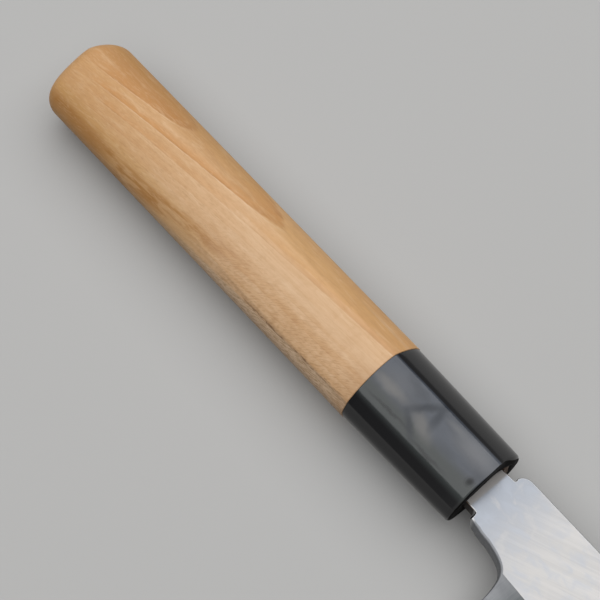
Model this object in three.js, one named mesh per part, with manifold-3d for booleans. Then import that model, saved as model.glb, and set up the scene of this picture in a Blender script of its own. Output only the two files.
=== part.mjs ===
// Yanagiba: a right-handed, single-bevel slicing knife lying on its hollow-ground side.
// Millimetres. X runs from the butt of the handle to the tip, Y from the cutting edge to the spine,
// and Z up, out of the bevelled side. While the pieces are made, X = 0 is the joint between wood and
// ferrule, and Y = Z = 0 is the axis of the handle. The finished group stands on the middle of its box.
import * as THREE from "three";
import { mergeVertices } from "three/addons/utils/BufferGeometryUtils.js";
import Module from "manifold-3d";

const wasm = await Module();
wasm.setup();

// Handle, outside
const WOOD_LENGTH = 112; // butt to joint
const FERRULE_LENGTH = 33.3;
const JOINT_WIDTH = 23.5; // spine side to edge side
const JOINT_THICKNESS = 18.7;
const BUTT_WIDTH = 24.8;
const BUTT_THICKNESS = 19.7;
const MOUTH_WIDTH = 21.8; // front end of the ferrule
const MOUTH_THICKNESS = 17.3;
const BUTT_ROUND = 4.6;
const MOUTH_ROUND = 0.9;

// Chestnut section of the handle, as it is at the joint
const RIDGE_INSET = 1.4; // ridge for the fingers, in from the widest point on the edge side
const RIDGE_RISE = 3.8; // ridge, above the middle plane
const CREASE_OFFSET = 3.75; // soft shoulder on the spine side, from the middle
const CREASE_DROP = 0.1; // soft shoulder, below the crown
// Handles of its curves, each as a share of the half width and a share of the half thickness
const SPINE_SIDE = { leave: [1, 0.33], arrive: [0.62, 0.77] };
const CROWN = { leave: [0.06, 1.08], arrive: [-0.53, 0.88] };
const UNDERCUT = { leave: [-0.925, 0.26], arrive: [-1, 0.17] };
const BELLY_ROUND = 0.54; // handles of both belly quarters

// Handle, inside
const FIT_GAP = 0.3; // between two pieces that seat on each other
const MOUTH_WALL = 9; // solid horn in front of the socket
const SOCKET_WALL = 2.2; // horn round the deep end of the socket
const BEDDING_WALL = 0.8; // resin round the tang
const BEDDING_END = 2; // resin behind the tang
const FILLER_WIDTH = 1.3; // filler beside the neck, at the spine end of the slot
const FILLER_DEPTH = 6;
const FILLER_RECESS = 0.4;

// Neck and tang
const NECK_GAP = 3; // bare neck between ferrule and machi
const NECK_WIDTH = 11.2; // at the machi
const TANG_LENGTH = 108; // from the machi
const TANG_END_WIDTH = 5.2;
const TANG_END_THICKNESS = 2.4;
const TANG_ROOT = 1.6; // how far the tang's root runs into the blade

// Blade, outline: rises and drops are measured from the axis of the handle
const BLADE_LENGTH = 270; // machi to tip
const SPINE_RISE = 8.4;
const SPINE_FALL = 2.6; // of the straight part of the spine
const SPINE_STRAIGHT = 165;
const SHOULDER_RUN = 2.7; // rounding of the shoulder on the spine side, along the spine
const NOTCH_RADIUS = 0.3;
const MACHI_DROP = 7.55;
const MACHI_ROUND = 0.6;
const CHOIL_RUN = 6.1; // straight underside of the machi
const CHOIL_FALL = 0.85;
const CHOIL_LEAVE = { back: 0.45, drop: 1.4 }; // handles of the choil's curve, from the heel's line
const CHOIL_ARRIVE = { back: 1.3, drop: 3 };
const HEEL_LEAN = 0.2; // rear of the heel, top to bottom
const HEEL_SETBACK = 14.9; // machi to heel
const HEEL_DROP = 22.9;
const HEEL_ROUND = 0.8;
const EDGE_STRAIGHT = 155; // straight part of the edge
const EDGE_RISE = 2.4; // of the straight part of the edge
const TIP_DROP = 1.5;
const SPINE_LEAN = 0.45; // how steeply the spine and the edge come in to the tip
const EDGE_LEAN = 0.42;

// Blade, grind
const SPINE_AT_MACHI = 4;
const SPINE_AT_TIP = 1.6;
const KIREHA_AT_HEEL = 12.2; // width of the bevel
const KIREHA_AT_TIP = 10.5;
const EDGE_LAND = 0.15;
const EDGE_OVERRUN = 0.5; // the bevel is cut on past the edge, so that the edge comes out clean
const HOLLOW_DEPTH = 0.5;
const HOLLOW_RIM = 2.2;
const HOLLOW_START = 7; // from the heel
const HOLLOW_STOP = 32; // from the tip
const HOLLOW_FADE = 0.4; // lower keeps the hollow deep for more of its length
const HOLLOW_END_DEPTH = 0.15; // at its two ends, as a share of its depth
const STEEL_THICKNESS = 1.2; // hard edge steel under the soft iron
const STEEL_START = 3; // from the machi

// Places that follow from the sizes above
const mouthX = FERRULE_LENGTH;
const machiX = mouthX + NECK_GAP;
const tipX = machiX + BLADE_LENGTH;
const heelX = machiX + HEEL_SETBACK;
const tangEndX = machiX - TANG_LENGTH;
const socketX = FERRULE_LENGTH - MOUTH_WALL;
const tenonX = socketX - FIT_GAP;
const uraZ = -SPINE_AT_MACHI / 2;
const steelZ = uraZ + STEEL_THICKNESS;
const CLEAR = 2; // how far a cutter reaches past what it cuts

// Fineness of the curves, in steps
const SECTION_STEPS = [9, 12, 4, 9, 9];
const ROUND_STEPS = 6;
const CORNER_STEPS = 4;
const CHOIL_STEPS = 12;
const SWEEP_STEPS = 18;
const HOLLOW_STATIONS = 16;
const HOLLOW_ACROSS = 8;
const WELD = 1e-5; // points closer than this are one point

// Materials
function material(color, roughness, metalness) {
  return new THREE.MeshStandardMaterial({ color, roughness, metalness });
}
const iron = material(0xc9cacc, 0.32, 1);
const steel = material(0xd6d8db, 0.2, 1);
const horn = material(0x08080a, 0.12, 0);
const magnolia = material(0xcda578, 0.6, 0);
const resin = material(0x4a2f1c, 0.55, 0);

// Solids
function solidOf(geometry) {
  geometry.deleteAttribute("normal");
  geometry.deleteAttribute("uv");
  const merged = mergeVertices(geometry, WELD);
  return new wasm.Manifold(
    new wasm.Mesh({
      numProp: 3,
      vertProperties: new Float32Array(merged.attributes.position.array),
      triVerts: new Uint32Array(merged.index.array),
    }),
  );
}

function meshOf(name, solid, look) {
  const made = solid.getMesh();
  const geometry = new THREE.BufferGeometry();
  geometry.setAttribute("position", new THREE.BufferAttribute(made.vertProperties, 3));
  geometry.setIndex(new THREE.BufferAttribute(made.triVerts, 1));
  geometry.computeVertexNormals();
  const mesh = new THREE.Mesh(geometry, look);
  mesh.name = name;
  return mesh;
}

// A closed skin over rings of matching points. Each ring lies square to X and turns from +Y to +Z.
function loft(rings) {
  const count = rings[0].length;
  const index = [];
  for (let r = 0; r + 1 < rings.length; r++)
    for (let i = 0; i < count; i++) {
      const a = r * count + i;
      const b = r * count + ((i + 1) % count);
      index.push(a, b, a + count, b, b + count, a + count);
    }
  const flat = (ring) => ring.map((p) => new THREE.Vector2(p.y, p.z));
  const last = (rings.length - 1) * count;
  for (const [i, j, k] of THREE.ShapeUtils.triangulateShape(flat(rings[0]), []))
    index.push(i, k, j);
  for (const [i, j, k] of THREE.ShapeUtils.triangulateShape(flat(rings.at(-1)), []))
    index.push(last + i, last + j, last + k);
  const geometry = new THREE.BufferGeometry().setFromPoints(rings.flat());
  geometry.setIndex(index);
  return solidOf(geometry);
}

// A bar through a row of rectangular sections.
function taperedBar(...sections) {
  const ring = ({ x, width, thickness }) => [
    new THREE.Vector3(x, width / 2, -thickness / 2),
    new THREE.Vector3(x, width / 2, thickness / 2),
    new THREE.Vector3(x, -width / 2, thickness / 2),
    new THREE.Vector3(x, -width / 2, -thickness / 2),
  ];
  return loft(sections.map(ring));
}

function block(min, max) {
  const size = new THREE.Vector3().subVectors(max, min);
  const box = new THREE.BoxGeometry(size.x, size.y, size.z);
  box.translate(min.x + size.x / 2, min.y + size.y / 2, min.z + size.z / 2);
  return solidOf(box);
}

// The chestnut section at the joint, as points in the plane of Y and Z, starting at the spine side.
function jointSection() {
  const w = JOINT_WIDTH / 2;
  const t = JOINT_THICKNESS / 2;
  const at = (y, z) => new THREE.Vector2(y, z);
  const share = ([across, up]) => at(across * w, up * t);
  const curve = (from, shape, to) =>
    new THREE.CubicBezierCurve(from, share(shape.leave), share(shape.arrive), to);
  const spine = at(w, 0);
  const crease = at(CREASE_OFFSET, t - CREASE_DROP);
  const ridge = at(RIDGE_INSET - w, RIDGE_RISE);
  const side = at(-w, 0);
  const belly = at(0, -t);
  const edgeBelly = { leave: [-1, -BELLY_ROUND], arrive: [-BELLY_ROUND, -1] };
  const spineBelly = { leave: [BELLY_ROUND, -1], arrive: [1, -BELLY_ROUND] };
  const curves = [
    curve(spine, SPINE_SIDE, crease),
    curve(crease, CROWN, ridge),
    curve(ridge, UNDERCUT, side),
    curve(side, edgeBelly, belly),
    curve(belly, spineBelly, spine),
  ];
  return curves.flatMap((c, i) => c.getPoints(SECTION_STEPS[i]).slice(0, -1));
}
const section = jointSection();

// The section at x, stretched to a width and a thickness.
function handleRing(x, width, thickness) {
  const across = width / JOINT_WIDTH;
  const up = thickness / JOINT_THICKNESS;
  return section.map((p) => new THREE.Vector3(x, p.x * across, p.y * up));
}

// Rings over a rounded end, from the flat of the end to where the side starts.
function roundedEnd(x, inward, radius, sizeAt) {
  const rings = [];
  for (let i = 0; i <= ROUND_STEPS; i++) {
    const turn = ((Math.PI / 2) * i) / ROUND_STEPS;
    const along = x + inward * radius * (1 - Math.sin(turn));
    const inset = radius * (1 - Math.cos(turn));
    const [width, thickness] = sizeAt(along);
    rings.push(handleRing(along, width - 2 * inset, thickness - 2 * inset));
  }
  return rings;
}

function woodSize(x) {
  const share = -x / WOOD_LENGTH;
  return [
    THREE.MathUtils.lerp(JOINT_WIDTH, BUTT_WIDTH, share),
    THREE.MathUtils.lerp(JOINT_THICKNESS, BUTT_THICKNESS, share),
  ];
}

function ferruleSize(x) {
  const share = x / FERRULE_LENGTH;
  return [
    THREE.MathUtils.lerp(JOINT_WIDTH, MOUTH_WIDTH, share),
    THREE.MathUtils.lerp(JOINT_THICKNESS, MOUTH_THICKNESS, share),
  ];
}

// The tang's section at x, grown by a wall on every side.
function tangAt(x, wall) {
  const share = (machiX - x) / TANG_LENGTH;
  return {
    x,
    width: THREE.MathUtils.lerp(NECK_WIDTH, TANG_END_WIDTH, share) + 2 * wall,
    thickness: THREE.MathUtils.lerp(SPINE_AT_MACHI, TANG_END_THICKNESS, share) + 2 * wall,
  };
}

// The wooden tenon and the horn socket share one section, which the deep end of the socket sets.
const [tenonWidth, tenonThickness] = ferruleSize(socketX).map(
  (size) => size - 2 * (SOCKET_WALL + FIT_GAP),
);

function plug(fromX, toX, grow) {
  const width = tenonWidth + 2 * grow;
  const thickness = tenonThickness + 2 * grow;
  return loft([handleRing(fromX, width, thickness), handleRing(toX, width, thickness)]);
}

// Walls between the tang and the wood: gap, resin, gap.
const beddingInner = FIT_GAP;
const beddingOuter = FIT_GAP + BEDDING_WALL;
const boreWall = FIT_GAP + BEDDING_WALL + FIT_GAP;
const beddingEndX = tangEndX - FIT_GAP - BEDDING_END;

function handleBody() {
  const butt = roundedEnd(-WOOD_LENGTH, 1, BUTT_ROUND, woodSize).sort((a, b) => a[0].x - b[0].x);
  const outside = loft([...butt, handleRing(0, JOINT_WIDTH, JOINT_THICKNESS)]);
  const bore = taperedBar(
    tangAt(beddingEndX - FIT_GAP, boreWall),
    tangAt(tenonX + CLEAR, boreWall),
  );
  return outside.add(plug(-CLEAR, tenonX, 0)).subtract(bore);
}

function tangBedding() {
  const outside = taperedBar(tangAt(beddingEndX, beddingOuter), tangAt(tenonX, beddingOuter));
  const pocket = taperedBar(
    tangAt(tangEndX - FIT_GAP, beddingInner),
    tangAt(tenonX + CLEAR, beddingInner),
  );
  return outside.subtract(pocket);
}

// The slot in the ferrule's mouth: the neck, a filler on the spine side, and a gap round both.
const slotBottomY = -(NECK_WIDTH / 2 + FIT_GAP);
const fillerStartY = NECK_WIDTH / 2 + FIT_GAP;
const fillerEndY = fillerStartY + FILLER_WIDTH;
const slotTopY = fillerEndY + FIT_GAP;
const slotHalf = SPINE_AT_MACHI / 2 + FIT_GAP;

function ferrule() {
  const mouth = roundedEnd(mouthX, -1, MOUTH_ROUND, ferruleSize).sort((a, b) => a[0].x - b[0].x);
  const outside = loft([handleRing(0, JOINT_WIDTH, JOINT_THICKNESS), ...mouth]);
  const slot = block(
    new THREE.Vector3(socketX - CLEAR, slotBottomY, -slotHalf),
    new THREE.Vector3(mouthX + CLEAR, slotTopY, slotHalf),
  );
  return outside.subtract(plug(-CLEAR, socketX, FIT_GAP)).subtract(slot);
}

function mouthFiller() {
  return block(
    new THREE.Vector3(mouthX - FILLER_DEPTH, fillerStartY, -SPINE_AT_MACHI / 2),
    new THREE.Vector3(mouthX - FILLER_RECESS, fillerEndY, SPINE_AT_MACHI / 2),
  );
}

// Long curves of the blade's outline
const tip = new THREE.Vector2(tipX, -TIP_DROP);
const shoulder = new THREE.Vector2(machiX + SHOULDER_RUN, SPINE_RISE);
const spineBend = new THREE.Vector2(machiX + SPINE_STRAIGHT, SPINE_RISE - SPINE_FALL);
const heel = new THREE.Vector2(heelX, -HEEL_DROP);
const edgeBend = new THREE.Vector2(heelX + EDGE_STRAIGHT, EDGE_RISE - HEEL_DROP);

// A curve that leaves a straight stretch in its own direction and runs to the tip.
function sweepToTip(from, bend, lean) {
  const reach = (tipX - bend.x) / 2;
  const way = new THREE.Vector2().subVectors(bend, from).normalize();
  const leave = bend.clone().addScaledVector(way, reach);
  const arrive = new THREE.Vector2(tipX - reach * lean, bend.y * lean + tip.y * (1 - lean));
  return new THREE.CubicBezierCurve(bend, leave, arrive, tip).getPoints(SWEEP_STEPS);
}
const spineCurve = [shoulder, ...sweepToTip(shoulder, spineBend, SPINE_LEAN)];
const edgeCurve = [heel, ...sweepToTip(heel, edgeBend, EDGE_LEAN)];

// The height of a line of points at x.
function heightAt(points, x) {
  const next = points.findIndex((p) => p.x >= x);
  if (next < 1) return next < 0 ? points.at(-1).y : points[0].y;
  const [a, b] = [points[next - 1], points[next]];
  return THREE.MathUtils.lerp(a.y, b.y, (x - a.x) / (b.x - a.x));
}

// Points along a turn of an ellipse, with angles in quarter turns.
function turnPoints(middle, radiusX, radiusY, start, end, steps) {
  const quarter = Math.PI / 2;
  const [from, to] = [start * quarter, end * quarter];
  const turn = new THREE.EllipseCurve(middle.x, middle.y, radiusX, radiusY, from, to, end < start);
  return turn.getPoints(steps);
}

// The flat outline of the blade, from the edge side of the machi round by the heel and the tip.
function bladeOutline() {
  const choilStart = new THREE.Vector2(machiX + CHOIL_RUN, -MACHI_DROP - CHOIL_FALL);
  const heelTop = new THREE.Vector2(heelX - HEEL_LEAN, HEEL_ROUND - HEEL_DROP);
  const choil = new THREE.CubicBezierCurve(
    choilStart,
    new THREE.Vector2(heelX - CHOIL_LEAVE.back, choilStart.y - CHOIL_LEAVE.drop),
    new THREE.Vector2(heelX - CHOIL_ARRIVE.back, choilStart.y - CHOIL_ARRIVE.drop),
    heelTop,
  );
  const notch = new THREE.Vector2(machiX, NECK_WIDTH / 2 + NOTCH_RADIUS);
  const notchTop = notch.y + NOTCH_RADIUS;
  const shoulderFoot = new THREE.Vector2(shoulder.x, notchTop);
  const machiCorner = new THREE.Vector2(machiX + MACHI_ROUND, MACHI_ROUND - MACHI_DROP);
  return [
    ...turnPoints(machiCorner, MACHI_ROUND, MACHI_ROUND, 2, 3, CORNER_STEPS),
    ...choil.getPoints(CHOIL_STEPS),
    new THREE.Vector2(heelX + HEEL_ROUND, heel.y),
    ...edgeCurve.slice(1),
    ...spineCurve.slice(0, -1).reverse(),
    ...turnPoints(shoulderFoot, SHOULDER_RUN, SPINE_RISE - notchTop, 1, 2, ROUND_STEPS).slice(1),
    ...turnPoints(notch, NOTCH_RADIUS, NOTCH_RADIUS, 1, -1, ROUND_STEPS).slice(1),
  ];
}

function topAt(x) {
  const share = (x - machiX) / BLADE_LENGTH;
  return uraZ + THREE.MathUtils.lerp(SPINE_AT_MACHI, SPINE_AT_TIP, share);
}

// Everything under the flat (hira) and under the bevel (kireha), which meet along the shinogi line.
function grindBody() {
  const far = SPINE_RISE + CLEAR;
  const deep = uraZ - CLEAR;
  const ring = (x, edgeY) => {
    const share = THREE.MathUtils.clamp((x - heelX) / (tipX - heelX), 0, 1);
    const width = THREE.MathUtils.lerp(KIREHA_AT_HEEL, KIREHA_AT_TIP, share);
    const landZ = uraZ + EDGE_LAND;
    const slope = (topAt(x) - landZ) / width;
    return [
      new THREE.Vector3(x, far, deep),
      new THREE.Vector3(x, far + width, topAt(x)),
      new THREE.Vector3(x, edgeY + width, topAt(x)),
      new THREE.Vector3(x, edgeY - EDGE_OVERRUN, landZ - EDGE_OVERRUN * slope),
      new THREE.Vector3(x, edgeY - EDGE_OVERRUN, deep),
    ];
  };
  return loft([
    ring(machiX - CLEAR, heel.y),
    ...edgeCurve.map((p) => ring(p.x, p.y)),
    ring(tipX + CLEAR, tip.y + CLEAR),
  ]);
}

// The hollow (urasuki) of the flat side: a shallow trough that dies out at both ends.
function hollowBody() {
  const fromX = heelX + HOLLOW_START;
  const toX = tipX - HOLLOW_STOP;
  const rings = [];
  for (let s = 0; s <= HOLLOW_STATIONS; s++) {
    const share = s / HOLLOW_STATIONS;
    const x = THREE.MathUtils.lerp(fromX, toX, share);
    const low = heightAt(edgeCurve, x) + HOLLOW_RIM;
    const high = heightAt(spineCurve, x) - HOLLOW_RIM;
    const swell = Math.sin(Math.PI * share) ** HOLLOW_FADE;
    const depth = HOLLOW_DEPTH * Math.max(HOLLOW_END_DEPTH, swell);
    const ring = [new THREE.Vector3(x, high, uraZ - CLEAR)];
    for (let i = 0; i <= HOLLOW_ACROSS; i++) {
      const side = 1 - (2 * i) / HOLLOW_ACROSS;
      const y = THREE.MathUtils.lerp(low, high, (1 + side) / 2);
      ring.push(new THREE.Vector3(x, y, uraZ + depth * (1 - side * side)));
    }
    ring.push(new THREE.Vector3(x, low, uraZ - CLEAR));
    rings.push(ring);
  }
  return loft(rings);
}

function groundBlade() {
  const blank = new THREE.ExtrudeGeometry(new THREE.Shape(bladeOutline()), {
    depth: SPINE_AT_MACHI,
    bevelEnabled: false,
  });
  blank.translate(0, 0, uraZ);
  return solidOf(blank).intersect(grindBody()).subtract(hollowBody());
}

// Where the hard steel lies: the underside of the blade, from just past the machi to the tip.
function steelRegion() {
  return block(
    new THREE.Vector3(machiX + STEEL_START, -HEEL_DROP - CLEAR, uraZ - CLEAR),
    new THREE.Vector3(tipX + CLEAR, SPINE_RISE + CLEAR, steelZ),
  );
}

// The tang, with a smaller root that lies inside the blade.
function tangBar() {
  const root = { x: machiX + TANG_ROOT, width: NECK_WIDTH / 2, thickness: SPINE_AT_MACHI / 2 };
  return taperedBar(tangAt(tangEndX, 0), tangAt(machiX, 0), root);
}

const blade = groundBlade();

const knife = new THREE.Group();
knife.add(
  meshOf("blade_body", blade.subtract(steelRegion()).add(tangBar()), iron),
  meshOf("edge_steel", blade.intersect(steelRegion()), steel),
  meshOf("ferrule", ferrule(), horn),
  meshOf("handle_body", handleBody(), magnolia),
  meshOf("tang_bedding", tangBedding(), resin),
  meshOf("mouth_filler", mouthFiller(), resin),
);

// The origin is under the middle of the knife's box.
const box = new THREE.Box3().setFromObject(knife);
const middle = box.getCenter(new THREE.Vector3());
knife.position.set(-middle.x, -middle.y, -box.min.z);
const yanagiba = new THREE.Group();
yanagiba.add(knife);

export default yanagiba;
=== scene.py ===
# Looks of a yanagiba knife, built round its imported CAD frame.
# The scene is in metres and in the frame's axes: X from butt to tip, Y from edge to spine, Z up.
# Sizes below are millimetres, measured from the middle of the joint between wood and ferrule.
import math

import bmesh
import bpy
from mathutils import Matrix, Vector
from mathutils.geometry import delaunay_2d_cdt


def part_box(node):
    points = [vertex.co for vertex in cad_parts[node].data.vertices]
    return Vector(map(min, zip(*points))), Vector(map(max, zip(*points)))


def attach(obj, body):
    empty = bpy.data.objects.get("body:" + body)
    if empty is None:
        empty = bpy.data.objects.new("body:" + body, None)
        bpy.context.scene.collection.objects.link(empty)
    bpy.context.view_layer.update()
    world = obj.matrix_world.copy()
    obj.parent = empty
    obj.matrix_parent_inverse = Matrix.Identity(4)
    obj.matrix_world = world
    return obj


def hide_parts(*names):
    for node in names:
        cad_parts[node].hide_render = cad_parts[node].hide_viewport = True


MM = 0.001
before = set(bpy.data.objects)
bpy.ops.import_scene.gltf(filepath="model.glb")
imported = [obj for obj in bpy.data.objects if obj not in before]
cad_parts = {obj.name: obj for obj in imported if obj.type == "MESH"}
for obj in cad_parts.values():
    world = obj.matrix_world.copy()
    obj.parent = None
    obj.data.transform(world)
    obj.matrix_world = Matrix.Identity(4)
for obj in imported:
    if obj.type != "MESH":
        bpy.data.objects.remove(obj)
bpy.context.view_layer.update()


def box_mm(node):
    low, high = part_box(node)
    return low / MM, high / MM


handle_low, handle_high = box_mm("handle_body")
ferrule_low, ferrule_high = box_mm("ferrule")
filler_low, filler_high = box_mm("mouth_filler")
body_low, body_high = box_mm("blade_body")
steel_low, steel_high = box_mm("edge_steel")
ORIGIN = Vector((ferrule_low.x, (ferrule_low.y + ferrule_high.y) / 2, (filler_low.z + filler_high.z) / 2))

# Handle
BUTT_X = handle_low.x - ORIGIN.x
MOUTH_X = ferrule_high.x - ORIGIN.x
TENON_X = handle_high.x - ORIGIN.x
SOCKET_GAP = 0.3
SOCKET_X = TENON_X + SOCKET_GAP
SOCKET_WALL = 2.2
JOINT_WIDTH, JOINT_THICKNESS = 23.5, 18.7
BUTT_WIDTH, BUTT_THICKNESS = 24.8, 19.7
MOUTH_WIDTH, MOUTH_THICKNESS = 21.8, 17.3
CREASE_OFFSET, CREASE_DROP = 3.75, 0.1  # the crown's border on the spine side, from its middle and top
RIDGE_INSET, RIDGE_RISE = 1.4, 3.8  # the ridge, from the widest point of the edge side
BUTT_ROUND = 4.6
JOINT_ROUND = 0.12
FERRULE_STEP = 0.12  # horn below the wood at the joint
MOUTH_ROUND_EDGE, MOUTH_ROUND_CROWN, MOUTH_ROUND_SPINE = 0.85, 0.15, 1.3
EDGE_TO_CROWN_Y, CROWN_TO_SPINE_Y = (-5.5, 1.5), (4, 9)  # where one rounding turns into the next
MOUTH_SET, MOUTH_SKEW, MOUTH_LEAN = -0.4, -0.05, 0.08  # the front face is not quite square to the axis
MOUTH_SWELL, SWELL_Y = 1.25, (5, 9)  # and stands forward past the neck's spine side
FRONT_RUN = 3  # the length behind it that has no rings
RIDGE_SLIP, RIDGE_SLIP_X = 0.04, -4  # the ridge's wear slides down towards the butt, by this a millimetre
FACET_BLEND = -0.3, 0.5  # distances below the ridge between which the look of the facet sets in
RIDGE_SHARP_X, RIDGE_FADED_X = -25, -85  # the ridge is crisp at the ferrule and fades towards the butt

# Blade
STEEL_START = 3  # from the machi, where blade and tang meet, to the edge steel
MACHI_X = steel_low.x - ORIGIN.x - STEEL_START
TIP_X = steel_high.x - ORIGIN.x
TANG_X = body_low.x - ORIGIN.x
HEEL_Y = steel_low.y - ORIGIN.y
SPINE_Y = body_high.y - ORIGIN.y
HEEL_RUN = 14.9
HEEL_X = MACHI_X + HEEL_RUN
TIP_Y = -1.5
SPINE_FALL, SPINE_STRAIGHT, SPINE_LEAN = 2.6, 165, 0.45
EDGE_RISE, EDGE_STRAIGHT, EDGE_LEAN = 2.4, 155, 0.42
NECK_WIDTH = 11.2
NECK_THICKNESS = 4
TANG_END_WIDTH, TANG_END_THICKNESS = 5.2, 2.4
STEEL_THICKNESS = 1.2
URA_Z = -NECK_THICKNESS / 2  # the flat side of the blade
STEEL_Z = URA_Z + STEEL_THICKNESS
SPINE_AT_TIP = 1.6
KIREHA_AT_HEEL, KIREHA_AT_TIP = 11.5, 10.5
KIREHA_FLARE, FLARE_LEAD, FLARE_RUN = 0.7, 1, 11  # the ground bevel widens towards the heel
EDGE_LAND = 0.15
EDGE_EASE, MACHI_EASE, CHOIL_EASE = 0.26, 0.5, 1.1  # radius of the rounded edges
EASE_STEPS = 6
EASE_SHARE = 0.3  # most of the thickness that a rounded edge takes
HOLLOW_DEPTH, HOLLOW_RIM = 0.5, 2.2
HOLLOW_FROM_HEEL, HOLLOW_FROM_TIP = 7, 26
HOLLOW_START_X, HOLLOW_STOP_X = HEEL_X + HOLLOW_FROM_HEEL, TIP_X - HOLLOW_FROM_TIP
HOLLOW_BLUNT = 7  # power of its outline's ends
HOLLOW_LEAST = 0.01  # half width

# Camera, from the photograph: 1500 pixels of focal length on 600 of width
CAMERA_PLACE = Vector((95.63, -104.97, 303.93))
CAMERA_ELEVATION = math.radians(62)
CAMERA_TURN = math.radians(49.672)  # of the knife against the picture's horizontal
CAMERA_SENSOR, CAMERA_LENS = 36, 90


def lerp(a, b, share):
    return a + (b - a) * share


def smoothstep(low, high, value):
    share = min(1, max(0, (value - low) / (high - low)))
    return share * share * (3 - 2 * share)


# Meshes


def add_object(name, data):
    made = bpy.data.objects.new(name, data)
    bpy.context.scene.collection.objects.link(made)
    return made


def add_mesh(name, bm, materials):
    mesh = bpy.data.meshes.new(name)
    bm.to_mesh(mesh)
    bm.free()
    for material in materials:
        mesh.materials.append(material)
    return add_object(name, mesh)


def new_piece(name, bm, materials, node):
    """Turns a bmesh in millimetres into a piece that stands for a CAD node."""
    bmesh.ops.scale(bm, vec=(MM, MM, MM), verts=bm.verts)
    bmesh.ops.recalc_face_normals(bm, faces=bm.faces)
    piece = add_mesh(name, bm, materials)
    piece.location = ORIGIN * MM
    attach(piece, "root")
    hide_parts(node)
    return piece


def smooth_faces(bm, crease_angle):
    """Smooth faces, with sharp edges where the surface turns hard or the material changes."""
    for face in bm.faces:
        face.smooth = True
    for edge in bm.edges:
        if len(edge.link_faces) == 2:
            first, second = edge.link_faces
            same = first.material_index == second.material_index
            edge.smooth = same and edge.calc_face_angle(0) < crease_angle


def add_loop(bm, points):
    return [bm.verts.new(p) for p in points]


def bridge(bm, first, second, material=0):
    count = len(first)
    for i in range(count):
        j = (i + 1) % count
        bm.faces.new((first[i], first[j], second[j], second[i])).material_index = material


def skin(bm, rings, wrap=False, second_material=()):
    """Quads over rings of equal count. A wrapped skin closes on itself; else its two ends are capped."""
    loops = [add_loop(bm, ring) for ring in rings]
    for i, (first, second) in enumerate(zip(loops, loops[1:])):
        bridge(bm, first, second, 1 if i in second_material else 0)
    if wrap:
        bridge(bm, loops[-1], loops[0])
    else:
        for end in (loops[0], loops[-1]):
            middle = bm.verts.new(sum((v.co for v in end), Vector()) / len(end))
            for i, vert in enumerate(end):
                bm.faces.new((vert, end[(i + 1) % len(end)], middle))


# Handle section


def bezier(start, leave, arrive, end, steps):
    """Points along a cubic curve, without its last one."""
    points = []
    for i in range(steps):
        t = i / steps
        u = 1 - t
        points.append(u**3 * start + 3 * u * u * t * leave + 3 * u * t * t * arrive + t**3 * end)
    return points


def chestnut_section():
    """The section at the joint, with and without its ridge, from the spine side round by the crown."""
    w, t = JOINT_WIDTH / 2, JOINT_THICKNESS / 2

    def at(across, up):
        return Vector((across * w, up * t))

    spine, side, belly = at(1, 0), at(-1, 0), at(0, -1)
    crease = Vector((CREASE_OFFSET, t - CREASE_DROP))
    ridge = Vector((RIDGE_INSET - w, RIDGE_RISE))
    spine_side = bezier(spine, at(1, 0.33), at(0.62, 0.77), crease, 26)
    crown = bezier(crease, at(0.06, 1.08), at(-0.53, 0.88), ridge, 40)
    under = bezier(ridge, at(-0.925, 0.26), at(-1, 0.17), side, 16)
    crown_top = at(0.30, 0.98)
    plain = bezier(spine, at(1, 0.38), at(0.62, 0.84), crown_top, 26)
    plain += bezier(crown_top, at(0.07, 1.08), at(-1, 0.72), side, 56)
    below = bezier(side, at(-1, -0.54), at(-0.54, -1), belly, 24)
    below += bezier(belly, at(0.54, -1), at(1, -0.54), spine, 24)
    ridge_index = len(spine_side) + len(crown)
    return spine_side + crown + under + below, plain + below, ridge_index


RIDGED, PLAIN, RIDGE_INDEX = chestnut_section()


def wood_size(x):
    share = x / BUTT_X
    return lerp(JOINT_WIDTH, BUTT_WIDTH, share), lerp(JOINT_THICKNESS, BUTT_THICKNESS, share)


def ferrule_size(x, cut=FERRULE_STEP):
    share = x / MOUTH_X
    width, thickness = lerp(JOINT_WIDTH, MOUTH_WIDTH, share), lerp(JOINT_THICKNESS, MOUTH_THICKNESS, share)
    return width - 2 * cut, thickness - 2 * cut


SOCKET_SIZE = ferrule_size(SOCKET_X, SOCKET_WALL)
TENON_SIZE = ferrule_size(SOCKET_X, SOCKET_WALL + SOCKET_GAP)


def handle_ring(x, width, thickness, inset=0):
    """The section at x, in a given size. Inset moves each point towards the axis."""
    faded = smoothstep(RIDGE_SHARP_X, RIDGE_FADED_X, x)
    across, up = width / JOINT_WIDTH, thickness / JOINT_THICKNESS
    ring = []
    for sharp, plain in zip(RIDGED, PLAIN):
        p = sharp.lerp(plain, faded)
        y, z = p.x * across, p.y * up
        shrink = 1 - inset / math.hypot(y, z)
        ring.append(Vector((x, y * shrink, z * shrink)))
    return ring


def rounding(radius, steps):
    """Steps round a quarter circle, as (distance from the end, inset from the side)."""
    turns = [math.pi / 2 * i / steps for i in range(steps + 1)]
    return [(radius * (1 - math.sin(a)), radius * (1 - math.cos(a))) for a in turns]


def rectangle_ring(x, ring, low_y, high_y, half_z):
    """A rectangle at x with as many points as a ring, each on the same ray, and points in its corners."""
    middle, half_y = (low_y + high_y) / 2, (high_y - low_y) / 2
    points = []
    for p in ring:
        y, z = p.y - middle, p.z
        grow = 1 / max(abs(y) / half_y, abs(z) / half_z)
        points.append(Vector((x, middle + y * grow, z * grow)))
    for y, z in ((low_y, -half_z), (low_y, half_z), (high_y, half_z), (high_y, -half_z)):
        corner = Vector((x, y, z))
        nearest = min(range(len(points)), key=lambda i: (points[i] - corner).length)
        points[nearest] = corner
    return points


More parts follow.
